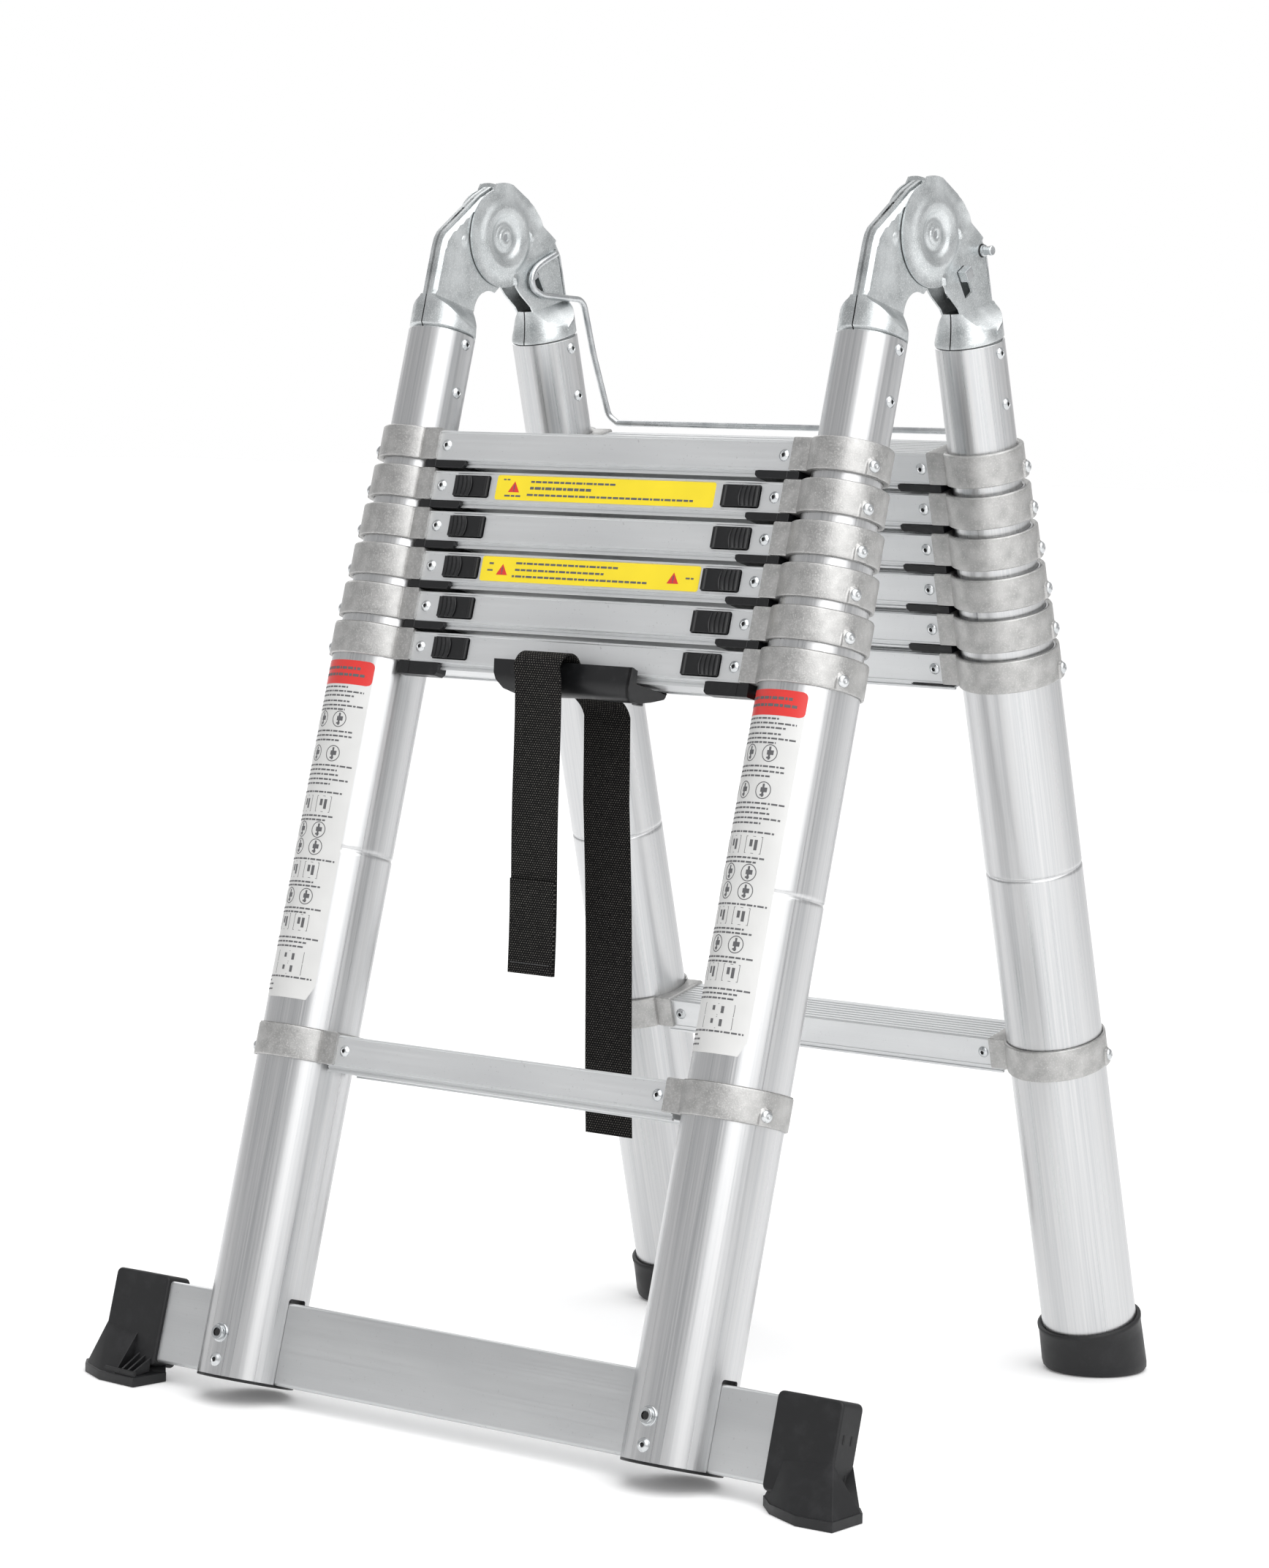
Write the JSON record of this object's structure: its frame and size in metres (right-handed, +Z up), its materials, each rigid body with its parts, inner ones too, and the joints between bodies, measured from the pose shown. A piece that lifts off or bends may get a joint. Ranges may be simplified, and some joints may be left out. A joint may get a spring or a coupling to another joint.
{
  "type": "telescoping ladder",
  "caption": "Telescoping double ladder standing as a trestle: nested round stiles with sliding rungs, thumb latches, locking top hinges, a stabiliser bar and rubber feet.",
  "frame": {"origin": "middle of the footprint on the floor", "axes": "+Z up; rungs along X; the ladder with the stabiliser bar stands towards -Y, the other towards +Y"},
  "size_m": [0.708, 0.5974, 0.8875],
  "materials": {
    "tube_aluminium": "drawn tube, satin",
    "rung_aluminium": "extruded, matt anodised",
    "cast_aluminium": "as cast, grainy",
    "hinge_steel": "galvanised pressed sheet",
    "zinc_steel": "bright zinc",
    "black_plastic": "moulded, satin",
    "black_rubber": "moulded, matt",
    "black_webbing": "woven webbing",
    "label": "printed film"
  },
  "bodies": {
    "front_base": {"front_stile_1": "tube_aluminium", "front_rung_1": "rung_aluminium", "front_lower_rung": "rung_aluminium", "stabiliser_bar": "rung_aluminium", "bar_feet": "black_rubber", "bar_bolts": "zinc_steel", "tube_plugs": "black_plastic", "strap_holder": "black_plastic", "strap": "black_webbing"},
    "front_stage_2": {"front_stile_2": "tube_aluminium", "front_rung_2": "rung_aluminium"},
    "front_stage_3": {"front_stile_3": "tube_aluminium", "front_rung_3": "rung_aluminium"},
    "front_stage_4": {"front_stile_4": "tube_aluminium", "front_rung_4": "rung_aluminium"},
    "front_stage_5": {"front_stile_5": "tube_aluminium", "front_rung_5": "rung_aluminium"},
    "front_stage_6": {"front_stile_6": "tube_aluminium", "front_rung_6": "rung_aluminium", "hinge_front_arms": "hinge_steel"},
    "rear_stage_6": {"rear_stile_6": "tube_aluminium", "rear_rung_6": "rung_aluminium", "hinge_rear_arms": "hinge_steel", "hinge_rivets": "hinge_steel", "lock_springs": "zinc_steel"},
    "rear_stage_5": {"rear_stile_5": "tube_aluminium", "rear_rung_5": "rung_aluminium"},
    "rear_stage_4": {"rear_stile_4": "tube_aluminium", "rear_rung_4": "rung_aluminium"},
    "rear_stage_3": {"rear_stile_3": "tube_aluminium", "rear_rung_3": "rung_aluminium"},
    "rear_stage_2": {"rear_stile_2": "tube_aluminium", "rear_rung_2": "rung_aluminium"},
    "rear_base": {"rear_stile_1": "tube_aluminium", "rear_rung_1": "rung_aluminium", "rear_lower_rung": "rung_aluminium", "rear_feet": "black_rubber"},
    "lock_bolts": {"lock_bolts": "zinc_steel"},
    "release_bail": {"release_bail": "zinc_steel"},
    "front_latch_left_1": {"front_latch_left_1": "black_plastic"},
    "front_latch_left_2": {"front_latch_left_2": "black_plastic"},
    "front_latch_left_3": {"front_latch_left_3": "black_plastic"},
    "front_latch_left_4": {"front_latch_left_4": "black_plastic"},
    "front_latch_left_5": {"front_latch_left_5": "black_plastic"},
    "front_latch_right_1": {"front_latch_right_1": "black_plastic"},
    "front_latch_right_2": {"front_latch_right_2": "black_plastic"},
    "front_latch_right_3": {"front_latch_right_3": "black_plastic"},
    "front_latch_right_4": {"front_latch_right_4": "black_plastic"},
    "front_latch_right_5": {"front_latch_right_5": "black_plastic"},
    "rear_latch_left_1": {"rear_latch_left_1": "black_plastic"},
    "rear_latch_left_2": {"rear_latch_left_2": "black_plastic"},
    "rear_latch_left_3": {"rear_latch_left_3": "black_plastic"},
    "rear_latch_left_4": {"rear_latch_left_4": "black_plastic"},
    "rear_latch_left_5": {"rear_latch_left_5": "black_plastic"},
    "rear_latch_right_1": {"rear_latch_right_1": "black_plastic"},
    "rear_latch_right_2": {"rear_latch_right_2": "black_plastic"},
    "rear_latch_right_3": {"rear_latch_right_3": "black_plastic"},
    "rear_latch_right_4": {"rear_latch_right_4": "black_plastic"},
    "rear_latch_right_5": {"rear_latch_right_5": "black_plastic"}
  },
  "joints": [
    {"name": "front_extend_2", "type": "slide", "parent": "front_base", "child": "front_stage_2", "axis": [0, 0.2538, 0.9673], "range_m": [0, 0.2698]},
    {"name": "front_extend_3", "type": "slide", "parent": "front_stage_2", "child": "front_stage_3", "axis": [0, 0.2538, 0.9673], "range_m": [0, 0.2698]},
    {"name": "front_extend_4", "type": "slide", "parent": "front_stage_3", "child": "front_stage_4", "axis": [0, 0.2538, 0.9673], "range_m": [0, 0.2698]},
    {"name": "front_extend_5", "type": "slide", "parent": "front_stage_4", "child": "front_stage_5", "axis": [0, 0.2538, 0.9673], "range_m": [0, 0.2698]},
    {"name": "front_extend_6", "type": "slide", "parent": "front_stage_5", "child": "front_stage_6", "axis": [0, 0.2538, 0.9673], "range_m": [0, 0.2698]},
    {"name": "ladder_fold", "type": "hinge", "parent": "front_stage_6", "child": "rear_stage_6", "pos_m": [0, -0.00544, 0.8465], "axis": [1, 0, 0], "range_deg": [-29.4, 150.6], "deforming": ["strap"]},
    {"name": "rear_extend_5", "type": "slide", "parent": "rear_stage_6", "child": "rear_stage_5", "axis": [0, 0.2538, -0.9673], "range_m": [0, 0.2698]},
    {"name": "rear_extend_4", "type": "slide", "parent": "rear_stage_5", "child": "rear_stage_4", "axis": [0, 0.2538, -0.9673], "range_m": [0, 0.2698]},
    {"name": "rear_extend_3", "type": "slide", "parent": "rear_stage_4", "child": "rear_stage_3", "axis": [0, 0.2538, -0.9673], "range_m": [0, 0.2698]},
    {"name": "rear_extend_2", "type": "slide", "parent": "rear_stage_3", "child": "rear_stage_2", "axis": [0, 0.2538, -0.9673], "range_m": [0, 0.2698]},
    {"name": "rear_extend_1", "type": "slide", "parent": "rear_stage_2", "child": "rear_base", "axis": [0, 0.2538, -0.9673], "range_m": [0, 0.2698]},
    {"name": "front_latch_left_1_slide", "type": "slide", "parent": "front_base", "child": "front_latch_left_1", "axis": [1, 0, 0], "range_m": [0, 0.01], "stiffness_N_per_m": 300, "springref_m": -0.01},
    {"name": "front_latch_left_2_slide", "type": "slide", "parent": "front_stage_2", "child": "front_latch_left_2", "axis": [1, 0, 0], "range_m": [0, 0.01], "stiffness_N_per_m": 300, "springref_m": -0.01},
    {"name": "front_latch_left_3_slide", "type": "slide", "parent": "front_stage_3", "child": "front_latch_left_3", "axis": [1, 0, 0], "range_m": [0, 0.01], "stiffness_N_per_m": 300, "springref_m": -0.01},
    {"name": "front_latch_left_4_slide", "type": "slide", "parent": "front_stage_4", "child": "front_latch_left_4", "axis": [1, 0, 0], "range_m": [0, 0.01], "stiffness_N_per_m": 300, "springref_m": -0.01},
    {"name": "front_latch_left_5_slide", "type": "slide", "parent": "front_stage_5", "child": "front_latch_left_5", "axis": [1, 0, 0], "range_m": [0, 0.01], "stiffness_N_per_m": 300, "springref_m": -0.01},
    {"name": "front_latch_right_1_slide", "type": "slide", "parent": "front_base", "child": "front_latch_right_1", "axis": [-1, 0, 0], "range_m": [0, 0.01], "stiffness_N_per_m": 300, "springref_m": -0.01},
    {"name": "front_latch_right_2_slide", "type": "slide", "parent": "front_stage_2", "child": "front_latch_right_2", "axis": [-1, 0, 0], "range_m": [0, 0.01], "stiffness_N_per_m": 300, "springref_m": -0.01},
    {"name": "front_latch_right_3_slide", "type": "slide", "parent": "front_stage_3", "child": "front_latch_right_3", "axis": [-1, 0, 0], "range_m": [0, 0.01], "stiffness_N_per_m": 300, "springref_m": -0.01},
    {"name": "front_latch_right_4_slide", "type": "slide", "parent": "front_stage_4", "child": "front_latch_right_4", "axis": [-1, 0, 0], "range_m": [0, 0.01], "stiffness_N_per_m": 300, "springref_m": -0.01},
    {"name": "front_latch_right_5_slide", "type": "slide", "parent": "front_stage_5", "child": "front_latch_right_5", "axis": [-1, 0, 0], "range_m": [0, 0.01], "stiffness_N_per_m": 300, "springref_m": -0.01},
    {"name": "rear_latch_left_1_slide", "type": "slide", "parent": "rear_base", "child": "rear_latch_left_1", "axis": [1, 0, 0], "range_m": [0, 0.01], "stiffness_N_per_m": 300, "springref_m": -0.01},
    {"name": "rear_latch_left_2_slide", "type": "slide", "parent": "rear_stage_2", "child": "rear_latch_left_2", "axis": [1, 0, 0], "range_m": [0, 0.01], "stiffness_N_per_m": 300, "springref_m": -0.01},
    {"name": "rear_latch_left_3_slide", "type": "slide", "parent": "rear_stage_3", "child": "rear_latch_left_3", "axis": [1, 0, 0], "range_m": [0, 0.01], "stiffness_N_per_m": 300, "springref_m": -0.01},
    {"name": "rear_latch_left_4_slide", "type": "slide", "parent": "rear_stage_4", "child": "rear_latch_left_4", "axis": [1, 0, 0], "range_m": [0, 0.01], "stiffness_N_per_m": 300, "springref_m": -0.01},
    {"name": "rear_latch_left_5_slide", "type": "slide", "parent": "rear_stage_5", "child": "rear_latch_left_5", "axis": [1, 0, 0], "range_m": [0, 0.01], "stiffness_N_per_m": 300, "springref_m": -0.01},
    {"name": "rear_latch_right_1_slide", "type": "slide", "parent": "rear_base", "child": "rear_latch_right_1", "axis": [-1, 0, 0], "range_m": [0, 0.01], "stiffness_N_per_m": 300, "springref_m": -0.01},
    {"name": "rear_latch_right_2_slide", "type": "slide", "parent": "rear_stage_2", "child": "rear_latch_right_2", "axis": [-1, 0, 0], "range_m": [0, 0.01], "stiffness_N_per_m": 300, "springref_m": -0.01},
    {"name": "rear_latch_right_3_slide", "type": "slide", "parent": "rear_stage_3", "child": "rear_latch_right_3", "axis": [-1, 0, 0], "range_m": [0, 0.01], "stiffness_N_per_m": 300, "springref_m": -0.01},
    {"name": "rear_latch_right_4_slide", "type": "slide", "parent": "rear_stage_4", "child": "rear_latch_right_4", "axis": [-1, 0, 0], "range_m": [0, 0.01], "stiffness_N_per_m": 300, "springref_m": -0.01},
    {"name": "rear_latch_right_5_slide", "type": "slide", "parent": "rear_stage_5", "child": "rear_latch_right_5", "axis": [-1, 0, 0], "range_m": [0, 0.01], "stiffness_N_per_m": 300, "springref_m": -0.01},
    {"name": "bail_swing", "type": "hinge", "parent": "rear_stage_6", "child": "release_bail", "pos_m": [0, 0.05462, 0.83744], "axis": [1, 0, 0], "range_deg": [0, 22], "stiffness_Nm_per_rad": 1.2, "springref_deg": -17.19},
    {"name": "lock_bolt_slide", "type": "slide", "parent": "rear_stage_6", "child": "lock_bolts", "axis": [0, 0.5373, -0.8434], "range_m": [0, 0.012]}
  ],
  "couplings": [
    {"joint": "lock_bolt_slide", "follows": "bail_swing", "m_per_rad": 0.0302}
  ]
}
